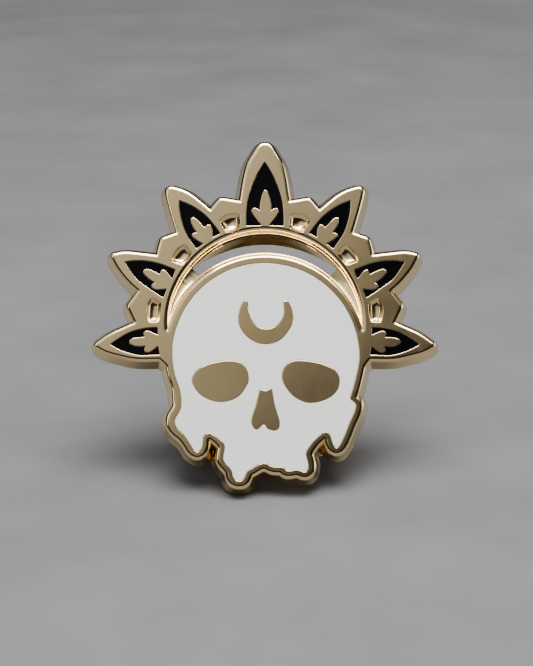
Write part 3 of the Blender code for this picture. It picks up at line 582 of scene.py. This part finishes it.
def resample(points, per, closed):
    n = len(points)
    out = []
    pos = [np.array(p[:2], float) for p in points]
    sharp = [len(p) > 2 for p in points]
    for i in range(n if closed else n - 1):
        b, c = pos[i], pos[(i + 1) % n]
        a = b - (c - b) if sharp[i] or (not closed and i == 0) else pos[i - 1]
        d = c + (c - b) if sharp[(i + 1) % n] or (not closed and i == n - 2) else pos[(i + 2) % n]
        m0, m1 = (c - a) / 2, (d - b) / 2
        m0 *= min(1.0, np.linalg.norm(c - b) / max(np.linalg.norm(m0), 1e-9))
        m1 *= min(1.0, np.linalg.norm(c - b) / max(np.linalg.norm(m1), 1e-9))
        for k in range(per):
            t = k / per
            out.append(tuple((2 * t**3 - 3 * t**2 + 1) * b + (t**3 - 2 * t**2 + t) * m0 + (-2 * t**3 + 3 * t**2) * c + (t**3 - t**2) * m1))
    if not closed:
        out.append(tuple(pos[-1]))
    return out


def turned(name, profile, n, angle=40):
    """A closed profile of (radius, height) turned about z."""
    bm = bmesh.new()
    rows = []
    for r, z in profile:
        if r < 1e-6:
            rows.append([bm.verts.new((0, 0, z))] * n)
        else:
            rows.append([bm.verts.new((r * math.cos(2 * math.pi * k / n), r * math.sin(2 * math.pi * k / n), z)) for k in range(n)])
    for a, b in zip(rows, rows[1:] + rows[:1]):
        if a[0] is a[1] and b[0] is b[1]:
            continue
        for k in range(n):
            corners = []
            for v in (a[k], b[k], b[(k + 1) % n], a[(k + 1) % n]):
                if v not in corners:
                    corners.append(v)
            bm.faces.new(corners)
    bmesh.ops.recalc_face_normals(bm, faces=bm.faces)
    mesh = bpy.data.meshes.new(name)
    bm.to_mesh(mesh)
    bm.free()
    mesh.shade_smooth()
    mesh.set_sharp_from_angle(angle=math.radians(angle))
    return mesh


POST_PROFILE = [
    (0, 0.03, 1), (FLANGE_R - 0.1, 0.03, 1), (FLANGE_R, 0.12), (FLANGE_R, 0.38), (FLANGE_R - 0.14, 0.5), (1.25, 0.5), (0.95, 0.56), (0.68, 0.72), (POST_R, 0.95),
    (POST_R, CLUTCH_OFF + 0.72), (POST_R - 0.12, CLUTCH_OFF + 0.86), (POST_R - 0.12, CLUTCH_OFF + 1.14), (POST_R, CLUTCH_OFF + 1.28),
    (POST_R, POST_L - 1.5), (POST_R * 0.62, POST_L - 0.6), (0.1, POST_L - 0.04), (0, POST_L, 1),
]
DISC_PROFILE = [
    (0.75, 0.0, 1), (3.2, 0.0), (4.3, 0.05), (4.85, 0.16), (DISC_R, 0.5), (4.96, 0.84), (4.62, 0.95), (4.32, 0.82), (4.1, 0.6),
    (3.3, 0.6), (3.17, 0.32), (2.8, 0.3), (0.75, 0.3, 1),
]
WING_LINE = [
    (0.68, 0.95, 2.6), (1.3, 0.95, 2.75), (2.05, 0.95, 2.75), (2.5, 1.08, 2.6), (2.74, 1.5, 2.35), (2.86, 2.2, 2.3), (3.02, 3.0, 2.6),
    (3.28, 3.85, 3.2), (3.68, 4.65, 3.75), (4.18, 5.35, 3.95), (4.6, 5.8, 3.6), (4.88, 6.05, 2.8), (5.05, 6.18, 1.6),
]


def wing_mesh(name, side):
    """A pressed strip with rounded ears; finger ridges are pressed across its grip."""
    line = np.array(WING_LINE)
    per = 5
    dense = []
    for i in range(len(line) - 1):
        a, b, c, d = line[max(i - 1, 0)], line[i], line[i + 1], line[min(i + 2, len(line) - 1)]
        for k in range(per):
            t = k / per
            dense.append(0.5 * ((2 * b) + (c - a) * t + (2 * a - 5 * b + 4 * c - d) * t * t + (3 * b - a - 3 * c + d) * t**3))
    dense.append(line[-1])
    dense = np.array(dense)
    spine, half = dense[:, :2], dense[:, 2]
    t = np.gradient(spine, axis=0)
    t /= np.hypot(t[:, 0], t[:, 1])[:, None]
    nrm = np.stack([-t[:, 1], t[:, 0]], 1)
    run = np.concatenate([[0], np.cumsum(np.hypot(*np.diff(spine, axis=0).T))])
    across = np.sin(np.linspace(-math.pi / 2, math.pi / 2, 25))
    bm = bmesh.new()
    sheets = []
    for face in (-0.5, 0.5):
        sheet = []
        for i in range(len(dense)):
            row = []
            for a in across:
                y = a * half[i]
                bite = max(0.0, 0.62 * math.sqrt(max(0.0, 1 - (y / 0.95) ** 2)) - 0.2) if abs(y) < 0.95 else 0.0
                fade = max(0.0, 1 - run[i] / 0.5)
                ridge = 0.045 * math.sin((run[i] - 4.2) * 2 * math.pi / 0.62) * min(1.0, max(0.0, (run[i] - 4.3) / 0.4)) * min(1.0, max(0.0, (run[-1] - 0.5 - run[i]) / 0.4)) * max(0.0, 1 - (a / 0.85) ** 4)
                edge = 0.5 - 0.12 * max(0.0, (abs(a) - 0.93) / 0.07) ** 2
                px = spine[i, 0] + nrm[i, 0] * (face * 2 * edge * WING_T + ridge) + bite * fade
                pz = spine[i, 1] + nrm[i, 1] * (face * 2 * edge * WING_T + ridge)
                row.append(bm.verts.new((side * px, y, pz)))
            sheet.append(row)
        sheets.append(sheet)
    low, high = sheets
    m, n = len(dense), len(across)
    for i in range(m - 1):
        for j in range(n - 1):
            bm.faces.new((low[i][j], low[i][j + 1], low[i + 1][j + 1], low[i + 1][j]))
            bm.faces.new((high[i][j], high[i + 1][j], high[i + 1][j + 1], high[i][j + 1]))
    for i in range(m - 1):
        for j in (0, n - 1):
            bm.faces.new((low[i][j], low[i + 1][j], high[i + 1][j], high[i][j]))
    for j in range(n - 1):
        for i in (0, m - 1):
            bm.faces.new((low[i][j], high[i][j], high[i][j + 1], low[i][j + 1]))
    bmesh.ops.recalc_face_normals(bm, faces=bm.faces)
    mesh = bpy.data.meshes.new(name)
    bm.to_mesh(mesh)
    bm.free()
    mesh.shade_smooth()
    mesh.set_sharp_from_angle(angle=math.radians(50))
    return mesh


def tab_solid(end):
    """One crimped tab: a strip that rises from the disc and folds over the wings' roots."""
    path = [(3.22, 0.35), (3.24, 0.8), (3.24, 1.25), (3.18, 1.47), (3.02, 1.58), (2.75, 1.6), (2.3, 1.6), (1.95, 1.6)]
    path = np.array(resample([p for p in path], 4, False))
    t = np.gradient(path, axis=0)
    t /= np.hypot(t[:, 0], t[:, 1])[:, None]
    nrm = np.stack([-t[:, 1], t[:, 0]], 1)
    bm = bmesh.new()
    rows = []
    for i, (y, z) in enumerate(path):
        late = i / (len(path) - 1)
        half = 1.5 - 0.25 * max(0.0, (late - 0.75) / 0.25) ** 2
        ring = []
        for x, f in ((-half, 0.14), (-half + 0.06, 0.2), (half - 0.06, 0.2), (half, 0.14), (half, -0.14), (half - 0.06, -0.2), (-half + 0.06, -0.2), (-half, -0.14)):
            ring.append(bm.verts.new((x, end * (y + nrm[i, 0] * f), z + nrm[i, 1] * f)))
        rows.append(ring)
    for a, b in zip(rows, rows[1:]):
        for k in range(8):
            bm.faces.new((a[k], a[(k + 1) % 8], b[(k + 1) % 8], b[k]))
    bm.faces.new(rows[0])
    bm.faces.new(rows[-1][::-1])
    bmesh.ops.recalc_face_normals(bm, faces=bm.faces)
    mesh = bpy.data.meshes.new("tab")
    bm.to_mesh(mesh)
    bm.free()
    mesh.shade_smooth()
    mesh.set_sharp_from_angle(angle=math.radians(40))
    return mesh


for side, sx in (("left", -1), ("right", 1)):
    axis = PIN @ Matrix.Translation((sx * POST_X, POST_Y, -PLATE_T)) @ Matrix.Rotation(math.pi, 4, "Y")
    place(f"post_{side}_turned", turned("post", resample(POST_PROFILE, 5, False), 64), axis, POST, "plate", f"post_{side}")
    clutch = axis @ Matrix.Translation((0, 0, CLUTCH_OFF))
    place(f"clutch_disc_{side}", turned("disc", resample(DISC_PROFILE, 5, True), 128), clutch, CLUTCH, f"clutch_{side}", f"clutch_base_{side}")
    for end, word in ((-1, "a"), (1, "b")):
        place(f"clutch_tab_{side}_{word}", tab_solid(end), clutch, CLUTCH, f"clutch_{side}", f"clutch_base_{side}")
    for spot, sign in (("outer", -sx), ("inner", sx)):
        place(f"clutch_ear_{side}_{spot}", wing_mesh("wing", sign), clutch, CLUTCH, f"wing_{side}_{spot}", f"clutch_wing_{side}_{spot}")

# ---- floor, light, camera --------------------------------------------------------------------
floor_mesh = bpy.data.meshes.new("floor")
bm = bmesh.new()
bmesh.ops.create_grid(bm, x_segments=1, y_segments=1, size=2.0)
bm.to_mesh(floor_mesh)
bm.free()
floor = bpy.data.objects.new("floor", floor_mesh)
floor.location = (0, 0.6, -0.00002)
bpy.context.scene.collection.objects.link(floor)
fm = Nodes("pale_floor")
grain = fm.ramp(fm.noise(38.0, 5.0, 0.6), 0.3, 0.7)
tone = fm.mix(grain, (0.138, 0.137, 0.139), (0.176, 0.175, 0.176))
floor_mesh.materials.append(fm.set(Base_Color=tone, Roughness=0.8, Specular_IOR_Level=0.15))


def area(name, at, aim, size, size_y, power, color=(1, 1, 1)):
    light = bpy.data.lights.new(name, "AREA")
    light.shape = "RECTANGLE"
    light.size, light.size_y, light.energy, light.color = size, size_y, power, color
    obj = bpy.data.objects.new(name, light)
    bpy.context.scene.collection.objects.link(obj)
    obj.location = at
    obj.rotation_euler = (Vector(aim) - Vector(at)).to_track_quat("-Z", "Y").to_euler()
    return obj


aim = (0, 0, 0.017)
area("top_softbox", (0.04, -0.10, 0.55), aim, 0.46, 0.34, 7.4)
area("right_panel", (0.42, 0.06, 0.11), aim, 0.50, 0.22, 0.80)
area("left_strip", (-0.38, -0.24, 0.26), aim, 0.12, 0.26, 0.25)

# The studio round it: dark behind the viewer, a broad soft glow that rises from about 34 degrees and leans to the left.
world = bpy.data.worlds.new("studio")
world.use_nodes = True
wt = world.node_tree
background = wt.nodes["Background"]


def world_node(kind, inputs, **props):
    n = wt.nodes.new(kind)
    for k, v in props.items():
        setattr(n, k, v)
    for k, v in inputs.items():
        if hasattr(v, "is_output"):
            wt.links.new(v, n.inputs[k])
        else:
            n.inputs[k].default_value = v
    return n


way = world_node("ShaderNodeSeparateXYZ", {0: wt.nodes.new("ShaderNodeTexCoord").outputs["Generated"]})
lean = world_node("ShaderNodeMapRange", {0: way.outputs[0], 1: -0.13, 2: 0.13, 3: 0.115, 4: -0.115}, clamp=True)
height = world_node("ShaderNodeMath", {0: way.outputs[2], 1: lean.outputs[0]}, operation="ADD")
behind = world_node("ShaderNodeMapRange", {0: way.outputs[1], 1: -0.05, 2: 0.45, 3: 1.0, 4: 0.10}, clamp=True)
glow = world_node("ShaderNodeValToRGB", {0: height.outputs[0]})
stops = [(0.0, 0.02), (0.30, 0.012), (0.50, 0.012), (0.545, 0.035), (0.575, 0.10), (0.60, 0.19), (0.625, 0.29), (0.66, 0.42), (0.72, 0.58), (0.80, 0.75), (0.90, 1.05), (1.0, 1.2)]
ramp = glow.color_ramp
while len(ramp.elements) < len(stops):
    ramp.elements.new(0.5)
for e, (at, level) in zip(ramp.elements, stops):
    e.position = at
for e, (at, level) in zip(ramp.elements, stops):
    e.color = (level, level, level, 1)
wt.links.new(glow.outputs["Color"], background.inputs["Color"])
wt.links.new(behind.outputs[0], background.inputs["Strength"])
bpy.context.scene.world = world

ELEVATION = math.radians(19.5)
PX_PER_MM = 9.15
LENS = 100.0
cam = bpy.data.cameras.new("camera")
cam.lens = LENS
cam.sensor_fit = "AUTO"
cam.sensor_width = 36.0
cam.clip_start, cam.clip_end = 0.01, 10.0
distance = 666 / PX_PER_MM * LENS / 36.0 * 0.001
target = PIN @ Vector(((266.5 - 264.8) / PX_PER_MM, (325 - 333) / PX_PER_MM, 0.0))
cam_obj = bpy.data.objects.new("camera", cam)
bpy.context.scene.collection.objects.link(cam_obj)
cam_obj.location = target + Vector((0, -math.cos(ELEVATION), math.sin(ELEVATION))) * distance
cam_obj.rotation_euler = (target - cam_obj.location).to_track_quat("-Z", "Y").to_euler()
bpy.context.scene.camera = cam_obj
